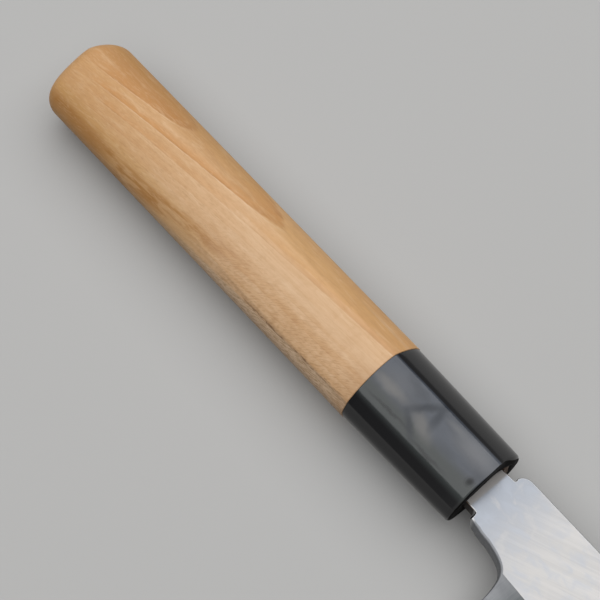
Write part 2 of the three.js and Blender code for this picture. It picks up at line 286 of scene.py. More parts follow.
def tang_size(x, wall=0):
    share = (MACHI_X - x) / (MACHI_X - TANG_X)
    width = lerp(NECK_WIDTH, TANG_END_WIDTH, share)
    thickness = lerp(NECK_THICKNESS, TANG_END_THICKNESS, share)
    return width + 2 * wall, thickness + 2 * wall


BORE_WALL, BORE_SPARE = 1.4, 2.6  # room round the tang and past its end
BORE_END_X = TANG_X - BORE_SPARE


def bore_ring(x, ring):
    width, thickness = tang_size(x, BORE_WALL)
    return rectangle_ring(x, ring, -width / 2, width / 2, thickness / 2)


def make_handle(material):
    bm = bmesh.new()
    end = handle_ring(BUTT_X, *wood_size(BUTT_X), BUTT_ROUND)
    rings = [[Vector((p.x, p.y * scale, p.z * scale)) for p in end] for scale in (0.25, 0.5, 0.75)]
    for back, inset in reversed(rounding(BUTT_ROUND, 14)):
        x = BUTT_X + back
        rings.append(handle_ring(x, *wood_size(x), inset))
    stations = 72
    start = BUTT_X + BUTT_ROUND
    for i in range(1, stations):
        x = lerp(start, -JOINT_ROUND, i / stations)
        rings.append(handle_ring(x, *wood_size(x)))
    for back, inset in rounding(JOINT_ROUND, 4):
        rings.append(handle_ring(-back, *wood_size(-back), inset))
    rings += [handle_ring(x, *TENON_SIZE) for x in (0, TENON_X)]
    rings += [bore_ring(x, rings[-1]) for x in (TENON_X, BORE_END_X)]
    skin(bm, rings)
    smooth_faces(bm, math.radians(40))
    piece = new_piece("magnolia_handle", bm, [material], "handle_body")
    mark_ridge(piece)


def mark_ridge(piece):
    """Gives each point its distance from the ridge, and its share of the facet under the ridge."""
    gap = piece.data.attributes.new("ridge_gap", "FLOAT", "POINT")
    under = piece.data.attributes.new("under_ridge", "FLOAT", "POINT")
    sharp, side = RIDGED[RIDGE_INDEX], Vector((-JOINT_WIDTH / 2, 0))
    along = (side - sharp).normalized()
    for vert in piece.data.vertices:
        x = min(0, vert.co.x / MM)
        ridge = sharp + along * RIDGE_SLIP * max(0, RIDGE_SLIP_X - x)
        width, thickness = wood_size(x)
        p = Vector((vert.co.y / MM * JOINT_WIDTH / width, vert.co.z / MM * JOINT_THICKNESS / thickness))
        gap.data[vert.index].value = (p - ridge).length
        below = smoothstep(*FACET_BLEND, (p - ridge).dot(along))
        under.data[vert.index].value = below if p.x < 0 else 0


# Ferrule


def mouth_x(y, z):
    swell = MOUTH_SWELL * smoothstep(*SWELL_Y, y)
    return MOUTH_X + MOUTH_SET + swell + MOUTH_SKEW * y + MOUTH_LEAN * (z - NECK_THICKNESS / 2)


def mouth_ring(turn):
    """A ring of the rounded front edge, which is crisp on the crown and softer on both sides."""
    ring = []
    for p in handle_ring(MOUTH_X, *ferrule_size(MOUTH_X)):
        radius = lerp(MOUTH_ROUND_EDGE, MOUTH_ROUND_CROWN, smoothstep(*EDGE_TO_CROWN_Y, p.y))
        radius = lerp(radius, MOUTH_ROUND_SPINE, smoothstep(*CROWN_TO_SPINE_Y, p.y))
        back, inset = radius * (1 - math.sin(turn)), radius * (1 - math.cos(turn))
        shrink = 1 - inset / math.hypot(p.y, p.z)
        ring.append(Vector((mouth_x(p.y, p.z) - back, p.y * shrink, p.z * shrink)))
    return ring


SLOT_GAP = 0.3
SLOT_HALF = NECK_THICKNESS / 2 + SLOT_GAP
SLOT_LOW = -NECK_WIDTH / 2 - SLOT_GAP
SLOT_HIGH = filler_high.y - ORIGIN.y + SLOT_GAP
SLOT_EASE = 0.18


def slot_ring(front, depth, ease):
    """The slot's outline, sunk below the front face."""
    ring = rectangle_ring(MOUTH_X, front, SLOT_LOW - ease, SLOT_HIGH + ease, SLOT_HALF + ease)
    return [Vector((mouth_x(p.y, p.z) - depth, p.y, p.z)) for p in ring]


def make_ferrule(polished, cut):
    """The ferrule is polished, apart from its cut front face."""
    bm = bmesh.new()
    rings = []
    for back, inset in reversed(rounding(JOINT_ROUND, 4)):
        rings.append(handle_ring(back, *ferrule_size(back), inset))
    stations = 24
    for i in range(1, stations):
        x = lerp(JOINT_ROUND, MOUTH_X - FRONT_RUN, i / stations)
        rings.append(handle_ring(x, *ferrule_size(x)))
    steps = 12
    face_start = len(rings) + steps // 2
    rings += [mouth_ring(math.pi / 2 * i / steps) for i in range(steps + 1)]
    front = rings[-1]
    rings += [slot_ring(front, 0, SLOT_EASE), slot_ring(front, SLOT_EASE, 0)]
    rings.append(rectangle_ring(SOCKET_X, front, SLOT_LOW, SLOT_HIGH, SLOT_HALF))
    face = range(face_start, len(rings) - 1)
    rings += [handle_ring(x, *SOCKET_SIZE) for x in (SOCKET_X, 0)]
    skin(bm, rings, wrap=True, second_material=face)
    smooth_faces(bm, math.radians(10))
    new_piece("horn_ferrule", bm, [polished, cut], "ferrule")


FILLER_SPREAD_LOW, FILLER_SPREAD_HIGH = Vector((0, 0.15, 0.2)), Vector((0.3, 0.2, 0.2))  # into its gaps
FILLER_ROUND = 0.25
DENT_DEPTH, DENT_REACH_X, DENT_SPREAD_Y, DENT_SPREAD_Z = 0.2, 0.3, 0.5, 4  # the spreads are squares


def make_filler(material):
    """A resin plug with rounded edges, sunk a little in its middle."""
    low, high = filler_low - ORIGIN - FILLER_SPREAD_LOW, filler_high - ORIGIN + FILLER_SPREAD_HIGH
    bm = bmesh.new()
    bmesh.ops.create_cube(bm, size=1)
    for vert in bm.verts:
        vert.co = Vector(lerp(low[i], high[i], vert.co[i] + 0.5) for i in range(3))
    bmesh.ops.bevel(bm, geom=bm.edges[:], offset=FILLER_ROUND, segments=3, profile=0.5, affect="EDGES")
    bmesh.ops.subdivide_edges(bm, edges=bm.edges[:], cuts=3, use_grid_fill=True)
    middle = (low + high) / 2
    for vert in bm.verts:
        if vert.co.x > high.x - DENT_REACH_X:
            away_y = (vert.co.y - middle.y) ** 2 / DENT_SPREAD_Y
            away_z = (vert.co.z - middle.z) ** 2 / DENT_SPREAD_Z
            vert.co.x -= DENT_DEPTH * math.exp(-away_y - away_z)
    smooth_faces(bm, math.radians(50))
    new_piece("neck_filler", bm, [material], "mouth_filler")


# Blade

SWEEP_STRAIGHT, SWEEP_CURVE = 60, 70  # steps


def sweep(start, bend, lean):
    """A straight stretch from start to bend, then a curve that runs on to the tip."""
    tip = Vector((TIP_X, TIP_Y))
    reach = (TIP_X - bend.x) / 2
    leave = bend + (bend - start).normalized() * reach
    arrive = Vector((TIP_X - reach * lean, lerp(TIP_Y, bend.y, lean)))
    straight = [start.lerp(bend, i / SWEEP_STRAIGHT) for i in range(SWEEP_STRAIGHT)]
    return straight + bezier(bend, leave, arrive, tip, SWEEP_CURVE) + [tip]


SHOULDER_RUN = 2.95  # less than to the start of the steel
SHOULDER = Vector((MACHI_X + SHOULDER_RUN, SPINE_Y))
HEEL = Vector((HEEL_X, HEEL_Y))
SPINE_LINE = sweep(SHOULDER, Vector((MACHI_X + SPINE_STRAIGHT, SPINE_Y - SPINE_FALL)), SPINE_LEAN)
EDGE_LINE = sweep(HEEL, Vector((HEEL_X + EDGE_STRAIGHT, HEEL_Y + EDGE_RISE)), EDGE_LEAN)


def height_at(line, x):
    if x <= line[0].x:
        return line[0].y
    for a, b in zip(line, line[1:]):
        if x <= b.x:
            return lerp(a.y, b.y, (x - a.x) / (b.x - a.x))
    return line[-1].y


def on_spine(x):
    return Vector((x, height_at(SPINE_LINE, x)))


def flat_z(x):
    """Top of the flat (hira), or of the tang behind the machi."""
    if x < MACHI_X:
        return tang_size(x)[1] / 2
    return URA_Z + lerp(NECK_THICKNESS, SPINE_AT_TIP, (x - MACHI_X) / (TIP_X - MACHI_X))


def bevel_width(x):
    share = min(1, max(0, (x - HEEL_X) / (TIP_X - HEEL_X)))
    flare = KIREHA_FLARE * (1 - smoothstep(HEEL_X - FLARE_LEAD, HEEL_X + FLARE_RUN, x))
    return lerp(KIREHA_AT_HEEL, KIREHA_AT_TIP, share) + flare


def bevel_slope(x):
    return (flat_z(x) - URA_Z - EDGE_LAND) / bevel_width(x)


def bevel_z(x, y):
    return URA_Z + EDGE_LAND + (y - height_at(EDGE_LINE, x)) * bevel_slope(x)


def blade_top(x, y):
    return flat_z(x) if x < MACHI_X else min(flat_z(x), bevel_z(x, y))


def weld_y(x):
    """Where the bevel crosses the weld between iron and steel."""
    return height_at(EDGE_LINE, x) + (STEEL_Z - URA_Z - EDGE_LAND) / bevel_slope(x)


def arc(middle, radius, start, end, steps):
    """Points round part of a circle, with angles in quarter turns."""
    turns = [math.pi / 2 * lerp(start, end, i / steps) for i in range(steps + 1)]
    return [Vector((middle.x + radius * math.cos(a), middle.y + radius * math.sin(a))) for a in turns]


BLADE_CREASE = math.radians(20)
MACHI_Y, MACHI_ROUND = -7.55, 0.6
CHOIL_RUN, CHOIL_Y = 6.1, -8.4
CHOIL_START = Vector((MACHI_X + CHOIL_RUN, CHOIL_Y))
CHOIL_LEAVE, CHOIL_ARRIVE = Vector((-0.45, -1.4)), Vector((-1.3, -3.0))  # from the heel's X and CHOIL_Y
HEEL_CUT = Vector((-0.2, 0.8))  # a small blunt corner
HEEL_BLUNT, EDGE_RESUME = 0.8, 2  # from the heel, to the corner's end and to the next point of the edge
NOTCH, NECK_FILLET = 0.3, 0.35
NOTCH_X, SHOULDER_FOOT = 0.1, 0.25  # from the machi
SHOULDER_CREST, SHOULDER_RISE = 0.53, 0.6  # shares of the shoulder's curve where its handles lie
EASE_GROWS_X, EASE_FULL_X = MACHI_X - 1, MACHI_X + 5
EASE_SLACK_Y, EASE_SLACK_X = 0.1, 0.5  # past the choil's two ends
WELD_CLEAR, STEEL_WELD_CLEAR, RIDGE_CLEAR = 0.05, 0.1, 0.3  # inner lines stop this far below the spine
WELD_RUN_OUT, RIDGE_RUN_OUT = 1, 2  # and meet it this much further on
RIDGE_LEAD = 0.5  # from the choil to the second point of the bevel's ridge
SHARPEST = 0.5  # cosine of half the sharpest turn that an inset corner follows
MERGE, SLIVER = 0.0005, 0.0002
STEP = 0.02  # the body's underside steps up over this length, where the steel starts
STEP_X = MACHI_X + STEEL_START


def choil_line():
    """From the machi's lower corner along the choil to the heel."""
    start = CHOIL_START
    heel_top = HEEL + HEEL_CUT
    corner = arc(Vector((MACHI_X + MACHI_ROUND, MACHI_Y + MACHI_ROUND)), MACHI_ROUND, 2, 3, 10)
    xs = [lerp(corner[-1].x, STEP_X, i / 6) for i in range(1, 7)]
    xs += [STEP_X + STEP, STEP_X + 1, STEP_X + 2]
    flat = []
    for x in xs:
        left = (start.x - x) / (start.x - corner[-1].x)
        flat.append(Vector((x, lerp(start.y, MACHI_Y, left * left))))
    below_start = Vector((HEEL_X, start.y))
    curve = bezier(start, below_start + CHOIL_LEAVE, below_start + CHOIL_ARRIVE, heel_top, 44)
    return corner + flat + curve + [heel_top]


def shoulder_line():
    """From the spine over the rounded shoulder and the notch to the top of the neck."""
    notch = Vector((MACHI_X + NOTCH_X, NECK_WIDTH / 2 + NOTCH))
    foot = Vector((MACHI_X + SHOULDER_FOOT, notch.y + NOTCH))
    rise = Vector((foot.x, lerp(foot.y, SPINE_Y, SHOULDER_RISE)))
    crest = Vector((lerp(foot.x, SHOULDER.x, SHOULDER_CREST), SPINE_Y))
    return bezier(SHOULDER, crest, rise, foot, 16) + arc(notch, NOTCH, 0.6, -1, 16)


def tang_line(side):
    """One long edge of the tang, from its end to the machi."""
    xs = [lerp(TANG_X, MACHI_X, i / 24) for i in range(25)]
    return [Vector((x, side * tang_size(x)[0] / 2)) for x in xs]


def spine_back(last_x):
    """The spine from last_x back to the shoulder, with points where the underside steps."""
    line = [p for p in SPINE_LINE if SHOULDER.x < p.x < last_x]
    line += [on_spine(STEP_X), on_spine(STEP_X + STEP)]
    return sorted(line, key=lambda p: -p.x)


def weld_line(clear):
    """The weld on the bevel from the heel on, until it is this close to the spine."""
    line = []
    for p in EDGE_LINE[1:]:
        if weld_y(p.x) >= height_at(SPINE_LINE, p.x) - clear:
            break
        line.append(Vector((p.x, weld_y(p.x))))
    return line


def body_outline():
    choil = [p for p in choil_line() if p.y > weld_y(p.x)]
    weld = weld_line(WELD_CLEAR)
    fillet = Vector((MACHI_X - NECK_FILLET, -NECK_WIDTH / 2 - NECK_FILLET))
    low = tang_line(-1)[:-1] + arc(fillet, NECK_FILLET, 1, 0, 6)
    corner = Vector((choil[-1].x, weld_y(choil[-1].x)))
    return low + choil + [corner] + weld + spine_back(weld[-1].x) + shoulder_line() + tang_line(1)[-2::-1]


def steel_outline():
    choil = [p for p in choil_line() if p.x >= STEP_X + STEP]
    heel = [Vector((HEEL_X + HEEL_BLUNT, HEEL_Y))]
    edge = [p for p in EDGE_LINE if p.x > HEEL_X + EDGE_RESUME]
    return choil + heel + edge + [p for p in spine_back(TIP_X) if p.x >= STEP_X + STEP]


def inset(outline, amounts):
    """The points of a counter-clockwise outline, each moved inwards by its own amount."""
    moved = []
    for i, p in enumerate(outline):
        before = (p - outline[i - 1]).normalized()
        after = (outline[(i + 1) % len(outline)] - p).normalized()
        along = (before + after).normalized()
        inward = Vector((-along.y, along.x))
        miter = 1 / max(SHARPEST, inward.dot(Vector((-after.y, after.x))))
        moved.append(p + inward * amounts[i] * miter)
    return moved


def cover(loop, lines, spots):
    """Triangles over a loop that keep to some inner lines. The loop's own points come first."""
    points, edges = list(loop), []
    for line in lines:
        ends = [min(range(len(loop)), key=lambda i: (loop[i] - end).length) for end in (line[0], line[-1])]
        chain = [ends[0]]
        for p in line[1:-1]:
            chain.append(len(points))
            points.append(p)
        chain.append(ends[1])
        edges += list(zip(chain, chain[1:]))
    points += list(spots)
    made = delaunay_2d_cdt(points, edges, [list(range(len(loop)))], 1, 1e-6)
    return made[0], made[2]


def rounded_edge(outline, levels, radii, side):
    """Loops from the border of a flat surface, round its edge, to the wall."""
    loops = []
    for run, drop in rounding(1, EASE_STEPS):
        moved = inset(outline, [run * r for r in radii])
        loops.append([Vector((p.x, p.y, z + side * drop * r)) for p, z, r in zip(moved, levels, radii)])
    return loops


def choil_ease(p):
    """Radius of the top edge, which is well rounded along the choil."""
    if p.y > MACHI_Y + MACHI_ROUND + EASE_SLACK_Y or p.x > HEEL_X + EASE_SLACK_X:
        return EDGE_EASE
    return lerp(MACHI_EASE, CHOIL_EASE, smoothstep(EASE_GROWS_X, EASE_FULL_X, p.x))


def slab(bm, outline, top, bottom, eases, covers, wall_material):
    """A closed solid between two surfaces. Eases give the radius of its top and bottom edge at a point,
    and covers are (lines, spots, material of a face). The wall has a material number of its own."""
    highs, lows = [top(p.x, p.y) for p in outline], [bottom(p.x, p.y) for p in outline]
    limits = [EASE_SHARE * max(0, high - low) for high, low in zip(highs, lows)]
    radii = [[min(ease(p), limit) for p, limit in zip(outline, limits)] for ease in eases]
    upper = rounded_edge(outline, highs, radii[0], -1)
    lower = rounded_edge(outline, lows, radii[1], 1)
    loops = [add_loop(bm, points) for points in lower + upper[::-1]]
    for first, second in zip(loops, loops[1:]):
        bridge(bm, first, second, wall_material)
    for loop, surface, (lines, spots, material_of), flip in (
        (loops[-1], top, covers[0], False),
        (loops[0], bottom, covers[1], True),
    ):
        border = [vert.co.xy for vert in loop]
        points, faces = cover(border, lines, spots)
        verts = loop + [bm.verts.new((p.x, p.y, surface(p.x, p.y))) for p in points[len(loop):]]
        for face in faces:
            corners = [verts[i] for i in (reversed(face) if flip else face)]
            middle = sum((points[i] for i in face), Vector((0, 0))) / 3
            bm.faces.new(corners).material_index = material_of(middle)
    bmesh.ops.remove_doubles(bm, verts=bm.verts, dist=MERGE)
    bmesh.ops.dissolve_degenerate(bm, dist=SLIVER, edges=bm.edges)


def body_bottom(x, _):
    if x < MACHI_X:
        return -tang_size(x)[1] / 2
    return URA_Z if x < STEP_X + STEP / 2 else STEEL_Z


def make_body(flat, bevel, wall):
    def on_bevel(p):
        return 1 if p.x > MACHI_X and bevel_z(p.x, p.y) < flat_z(p.x) else 0

    ridge = [Vector((p.x, p.y + bevel_width(p.x))) for p in EDGE_LINE]
    start = min(choil_line(), key=lambda p: abs(p.y - HEEL_Y - KIREHA_AT_HEEL))
    ridge = [p for p in ridge if p.y < height_at(SPINE_LINE, p.x) - RIDGE_CLEAR]
    ridge = [start] + [p for p in ridge if p.x > start.x + RIDGE_LEAD]
    ridge.append(on_spine(ridge[-1].x + RIDGE_RUN_OUT))
    steps = [[Vector((x, CHOIL_START.y)), Vector((x, SPINE_Y))] for x in (STEP_X, STEP_X + STEP)]
    bm = bmesh.new()
    eases = choil_ease, lambda p: EDGE_EASE if p.x < STEP_X else 0
    slab(bm, body_outline(), blade_top, body_bottom, eases,
         (([ridge], (), on_bevel), (steps, (), lambda p: 3)), 2)
    smooth_faces(bm, BLADE_CREASE)
    new_piece("iron_blade", bm, [flat, bevel, wall, wall], "blade_body")


def hollow_shape(x):
    """Middle and half width of the hollow at x, and its depth."""
    share = (x - HOLLOW_START_X) / (HOLLOW_STOP_X - HOLLOW_START_X)
    ends = max(0, 1 - abs(2 * share - 1) ** HOLLOW_BLUNT) if 0 <= share <= 1 else 0
    low, high = height_at(EDGE_LINE, x) + HOLLOW_RIM, height_at(SPINE_LINE, x) - HOLLOW_RIM
    middle, half = (low + high) / 2, (high - low) / 2 * math.sqrt(ends)
    return middle, half, HOLLOW_DEPTH * ends


def ura_z(x, y):
    middle, half, depth = hollow_shape(x)
    if half < HOLLOW_LEAST or abs(y - middle) >= half:
        return URA_Z
    return URA_Z + depth * (1 - ((y - middle) / half) ** 2)


def steel_top(x, y):
    return min(STEEL_Z, max(URA_Z + EDGE_LAND, bevel_z(x, y)))


def steel_ease(p):
    """Radius of the steel's top edge: none where the iron lies on it."""
    return EASE_SHARE * max(0, weld_y(p.x) - p.y)


def make_steel(bevel, hollow, wall):
    outline = steel_outline()
    heel_wall = min(outline, key=lambda p: abs(p.y - weld_y(HEEL_X)) + abs(p.x - HEEL_X))
    weld = [heel_wall] + weld_line(STEEL_WELD_CLEAR)
    weld.append(on_spine(weld[-1].x + WELD_RUN_OUT))
    spots = []
    stations, across = 110, 14
    for i in range(1, stations):
        x = lerp(HOLLOW_START_X, HOLLOW_STOP_X, i / stations)
        middle, half, _ = hollow_shape(x)
        spots += [Vector((x, middle + half * (2 * j / across - 1))) for j in range(across + 1)]

    def on_hollow(p):
        return 1 if ura_z(p.x, p.y) > URA_Z + 1e-4 else 3

    bm = bmesh.new()
    slab(bm, outline, steel_top, ura_z, (steel_ease, lambda p: EDGE_EASE),
         (([weld], (), lambda p: 0 if p.y < weld_y(p.x) else 3), ([], spots, on_hollow)), 2)
    smooth_faces(bm, BLADE_CREASE)
    new_piece("hard_edge", bm, [bevel, hollow, wall, bevel], "edge_steel")


# Materials


class Nodes:
    """A tree of shader nodes. Most methods add a node and give back its output."""

    def __init__(self, tree):
        self.nodes, self.links = tree.nodes, tree.links

    def feed(self, socket, value):
        if isinstance(value, bpy.types.NodeSocket):
            self.links.new(value, socket)
        else:
            socket.default_value = value

    def node(self, kind, inputs, **settings):
        made = self.nodes.new("ShaderNode" + kind)
        for name, value in settings.items():
            setattr(made, name, value)
        for key, value in inputs.items():
            self.feed(made.inputs[key], value)
        return made

    def vector(self, operation, *values, output="Vector"):
        return self.node("VectorMath", dict(enumerate(values)), operation=operation).outputs[output]

    def place(self, kind):
        return self.node("TexCoord", {}).outputs[kind]

    def axes(self, vector):
        return self.node("SeparateXYZ", {0: vector}).outputs[:]

    def join(self, x, y, z):
        return self.node("CombineXYZ", {0: x, 1: y, 2: z}).outputs[0]

    def dot(self, vector, direction):
        return self.vector("DOT_PRODUCT", vector, direction, output="Value")

    def math(self, operation, first, second=0.0, third=0.0):
        return self.node("Math", {0: first, 1: second, 2: third}, operation=operation).outputs[0]

    def product(self, first, *others):
        for other in others:
            first = self.math("MULTIPLY", first, other)
        return first

    def step(self, value, low, high, to_low=0.0, to_high=1.0):
        inputs = {"Value": value, "From Min": low, "From Max": high, "To Min": to_low, "To Max": to_high}
        return self.node("MapRange", inputs, interpolation_type="SMOOTHSTEP").outputs[0]

    def noise(self, vector, scales, detail=2.0, distortion=0.0, shift=0.0):
        moved = self.vector("MULTIPLY_ADD", vector, scales, (shift, shift, shift))
        inputs = {"Vector": moved, "Scale": 1.0, "Detail": detail, "Distortion": distortion}
        return self.node("TexNoise", inputs).outputs[0]

    def blend(self, share, first, second):
        colours = [c if isinstance(c, bpy.types.NodeSocket) else (*c, 1) for c in (first, second)]
        made = self.node("Mix", {0: share, 6: colours[0], 7: colours[1]}, data_type="RGBA")
        return made.outputs[2]

    def attribute(self, name):
        return self.node("Attribute", {}, attribute_name=name).outputs["Fac"]

    def seen_ray(self):
        """One for rays that show the stage, straight or in a reflection, and nought for the rest."""
        path = self.node("LightPath", {}).outputs
        seen = self.math("MAXIMUM", path["Is Camera Ray"], path["Is Glossy Ray"])
        return self.math("MAXIMUM", seen, path["Is Transmission Ray"])


class Surface(Nodes):
    """A material, with the spot on it in millimetres and the colour that it has been painted so far."""

    def __init__(self, name):
        self.material = bpy.data.materials.new(name)
        self.material.use_nodes = True
        super().__init__(self.material.node_tree)
        self.shader = self.nodes["Principled BSDF"]
        self.colour = None
        self.spot = self.vector("DIVIDE", self.place("Object"), (MM, MM, MM))
        self.x, self.y, self.z = self.axes(self.spot)

    def in_axes(self, *axes):
        return self.join(*(self.dot(self.spot, axis) for axis in axes))

    def turned(self, turn):
        """The spot, in axes turned about Z."""
        cos, sin = math.cos(turn), math.sin(turn)
        return self.in_axes((cos, sin, 0), (-sin, cos, 0), (0, 0, 1))

    def paint(self, share, colour):
        self.colour = self.blend(share, self.colour, colour)

    def finish(self, roughness, bump=None, bump_strength=0.3, bump_mm=0.1, **values):
        self.feed(self.shader.inputs["Base Color"], self.colour)
        self.feed(self.shader.inputs["Roughness"], roughness)
        for name, value in values.items():
            self.feed(self.shader.inputs[name.replace("_", " ")], value)
        if bump is not None:
            inputs = {"Height": bump, "Strength": bump_strength, "Distance": bump_mm * MM}
            self.feed(self.shader.inputs["Normal"], self.node("Bump", inputs).outputs[0])
        return self.material


# Wood

# Growth rings lie in planes that rise towards the spine and cross the axis at a few degrees.
RING_TILT = math.radians(52)
RING_DRIFT = 0.067
RING_BOW, RING_BOW_X = 0.000345, -60
RING_FIRST, RING_WIDTH = 12.92, 2.56
RING_WANDER, RING_RAGGED = 0.3, 0.22
STROKE_TURN = math.radians(31)
# Axes on the facet under the ridge: along its scratches, across them and out of it
FACET_AXES = (0.973, 0.108, 0.2), (-0.225, 0.458, 0.857), (0, -0.88, 0.47)
PLAIN_BELOW, WORN_ABOVE = -6.5, -3.3  # Z between the plain underside and the torn and worn sides


class Wood(Surface):
    """Magnolia, with coordinates along its grain and the phase of its growth rings."""

    def __init__(self):
        super().__init__("magnolia")
        normal = (-RING_DRIFT, math.cos(RING_TILT), math.sin(RING_TILT))
        bow = self.product(self.math("POWER", self.math("ADD", self.x, -RING_BOW_X), 2), RING_BOW)
        depth = self.math("ADD", self.dot(self.spot, normal), bow)
        wander = self.sway(RING_WANDER, (0.05, 0.15, 0.15), 2)
        ragged = self.sway(RING_RAGGED, (0.6, 2.2, 2.2), 3)
        self.depth = self.math("ADD", depth, self.math("ADD", wander, ragged))
        tangent = self.dot(self.spot, (0, -math.sin(RING_TILT), math.cos(RING_TILT)))
        self.grain = self.join(self.x, self.depth, tangent)
        past_first = self.math("SUBTRACT", self.depth, RING_FIRST)
        self.phase = self.math("FRACT", self.math("DIVIDE", past_first, RING_WIDTH))

    def sway(self, reach, scales, detail):
        return self.math("MULTIPLY_ADD", self.noise(self.spot, scales, detail), reach, -reach / 2)


def wood_rings(s):
    """Late wood darkens each ring from its sharp inner edge, which has a pale line before it."""
    late = s.product(s.step(s.phase, 0.0, 0.05), s.step(s.phase, 0.75, 0.05))
    edge = s.product(s.step(s.phase, 0.93, 0.97), s.step(s.phase, 1.0, 0.975))
    show = s.product(s.step(s.depth, 9.0, 12.6, 0.2, 1.0), s.step(s.x, -106, -96), s.step(s.y, 12, 9.5))
    s.colour = s.blend(s.step(s.y, 2.5, 7, 0, 0.75), (0.705, 0.46, 0.265), (0.69, 0.40, 0.168))
    s.paint(s.step(s.x, -45, -108, 0, 0.82), (0.57, 0.306, 0.116))
    s.paint(s.product(late, show, 0.8), (0.585, 0.28, 0.092))
    second = RING_FIRST + RING_WIDTH
    inner = s.product(s.step(s.depth, second, second + 0.15, 0, 0.55), s.step(s.x, -108, -98, 0.4, 1))
    s.paint(inner, (0.475, 0.212, 0.06))
    s.paint(s.product(s.step(s.y, 2, 6.5), s.step(s.x, -48, -76, 0, 0.35)), (0.495, 0.245, 0.093))
    rim = s.product(s.step(s.phase, 0.0, 0.02), s.step(s.phase, 0.16, 0.03))
    broken = s.step(s.noise(s.grain, (0.12, 0.5, 0.5), 2, shift=29), 0.35, 0.6, 0.1, 0.6)
    s.paint(s.product(rim, broken, show), (0.42, 0.19, 0.065))
    s.paint(s.product(edge, s.step(s.y, 6.4, 4.2, 0, 0.6), show), (0.77, 0.56, 0.36))
    golden = s.step(s.dot(s.spot, (-0.081, 1, 0)), 4.3, 4.9, 0, 0.5)
    s.paint(s.product(golden, s.step(s.x, -50, -34), s.step(s.x, 0, -12, 0.5, 1)), (0.66, 0.375, 0.15))


def wood_clouds(s):
    """Soft bands along the grain and small clouds, darker or paler than the rest."""
    broad = s.noise(s.grain, (0.02, 0.45, 0.45), 3)
    s.paint(s.step(broad, 0.45, 0.75, 0, 0.4), (0.60, 0.34, 0.155))
    pale = s.noise(s.grain, (0.022, 0.6, 0.6), 2, shift=7)
    s.paint(s.step(pale, 0.56, 0.78, 0, 0.4), (0.77, 0.55, 0.35))
    cloud = s.noise(s.grain, (0.16, 0.8, 0.8), 3, 0.8, shift=21)
    s.paint(s.step(cloud, 0.5, 0.72, 0, 0.28), (0.50, 0.27, 0.11))
    s.paint(s.step(cloud, 0.48, 0.28, 0, 0.25), (0.79, 0.58, 0.38))


def wood_vein(s):
    """A brown vein down the edge side, in patches that are darkest at the butt, by a creamy middle."""
    vein = s.math("ABSOLUTE", s.math("ADD", s.y, s.step(s.x, -30, -80, 6.7, 11.1)))
    patch = s.step(s.noise(s.grain, (0.11, 0.7, 0.7), 3, 0.5, shift=3), 0.4, 0.58, 0.25, 1.0)
    patch = s.product(patch, s.step(s.x, -30, -62, 0, 0.85))
    patch = s.math("MAXIMUM", patch, s.step(s.x, -80, -92, 0, 0.78))
    s.paint(s.product(s.step(vein, 2.1, 0.5), patch, s.step(s.x, -112, -107)), (0.385, 0.162, 0.048))
    centre = s.math("ABSOLUTE", s.math("ADD", s.dot(s.spot, (-0.03, 1, 0)), 0.9))
    s.paint(s.product(s.step(centre, 4.5, 1.0), s.step(s.x, -60, -30, 0, 0.32)), (0.75, 0.535, 0.345))
    warm = s.product(s.step(s.math("ABSOLUTE", s.y), 6.5, 9, 0, 0.15), s.step(s.x, -44, -58))
    s.paint(warm, (0.5, 0.26, 0.0))
    ripple = s.noise(s.spot, (0.4, 0.25, 0.25), 2, 0.5, shift=9)
    s.paint(s.step(ripple, 0.45, 0.7, 0, 0.16), (0.50, 0.27, 0.115))


def wood_fibres(s):
    """Fibres, streaks and flecks along the grain. Gives the fibres and the flecks."""
    fibre = s.noise(s.grain, (0.08, 3.4, 3.4), 3)
    s.paint(s.step(fibre, 0.4, 0.8, 0, 0.14), (0.47, 0.25, 0.105))
    streak = s.noise(s.grain, (0.03, 1.0, 1.0), 2, shift=17)
    s.paint(s.step(streak, 0.42, 0.7, 0, 0.22), (0.55, 0.30, 0.13))
    short = s.step(s.x, -20, -75, 0.35, 1)
    fleck = s.product(s.step(s.noise(s.grain, (0.7, 4.5, 4.5), 2, shift=11), 0.52, 0.7), short)
    s.paint(s.product(fleck, 0.34), (0.48, 0.255, 0.108))
    gleam = s.step(s.noise(s.grain, (0.5, 3.4, 3.4), 2, 0.4, shift=13), 0.52, 0.72)
    s.paint(s.product(gleam, short, 0.2), (0.78, 0.55, 0.34))
    return fibre, fleck


def torn_grain(s, worn):
    """Grain torn towards the ferrule, in short strokes across the length. Gives the strokes."""
    strokes = s.noise(s.turned(STROKE_TURN), (0.5, 3.4, 1.4), 3, 0.3)
    torn = s.product(s.step(s.y, -1, -8.5), s.step(s.x, -72, -30), worn)
    stroke = s.product(s.step(strokes, 0.48, 0.64), torn)
    s.paint(s.product(stroke, 0.36), (0.46, 0.24, 0.105))
    s.paint(s.product(s.step(strokes, 0.46, 0.33), torn, 0.16), (0.80, 0.60, 0.41))
    return stroke


def worn_ridge(s, worn):
    """The facet under the ridge is scratched and greyer, the grey partly painted light standing in for the
    floor's neutral bounce, and the ridge is chipped. Gives both.
    """
    hatch = s.step(s.noise(s.in_axes(*FACET_AXES), (0.7, 6.0, 0.7), 3, 0.3), 0.4, 0.66)
    under = s.product(s.attribute("under_ridge"), worn)
    scratched_facet_and_bounce = s.blend(hatch, (0.67, 0.51, 0.36), (0.34, 0.22, 0.13))
    # painted light in part: the facet's greyer tone stands in for neutral light bounced up from the floor
    s.paint(s.product(under, s.step(s.x, -82, -30, 0.04, 0.7)), scratched_facet_and_bounce)
    chip = s.step(s.noise(s.spot, (0.36, 1.6, 1.6), 3, 0.6, shift=5), 0.49, 0.62)
    chip = s.product(chip, s.step(s.attribute("ridge_gap"), 0.6, 0.12), s.step(s.x, -62, -24))
    s.paint(s.product(chip, 0.75), (0.19, 0.095, 0.042))
    return s.product(under, hatch), chip


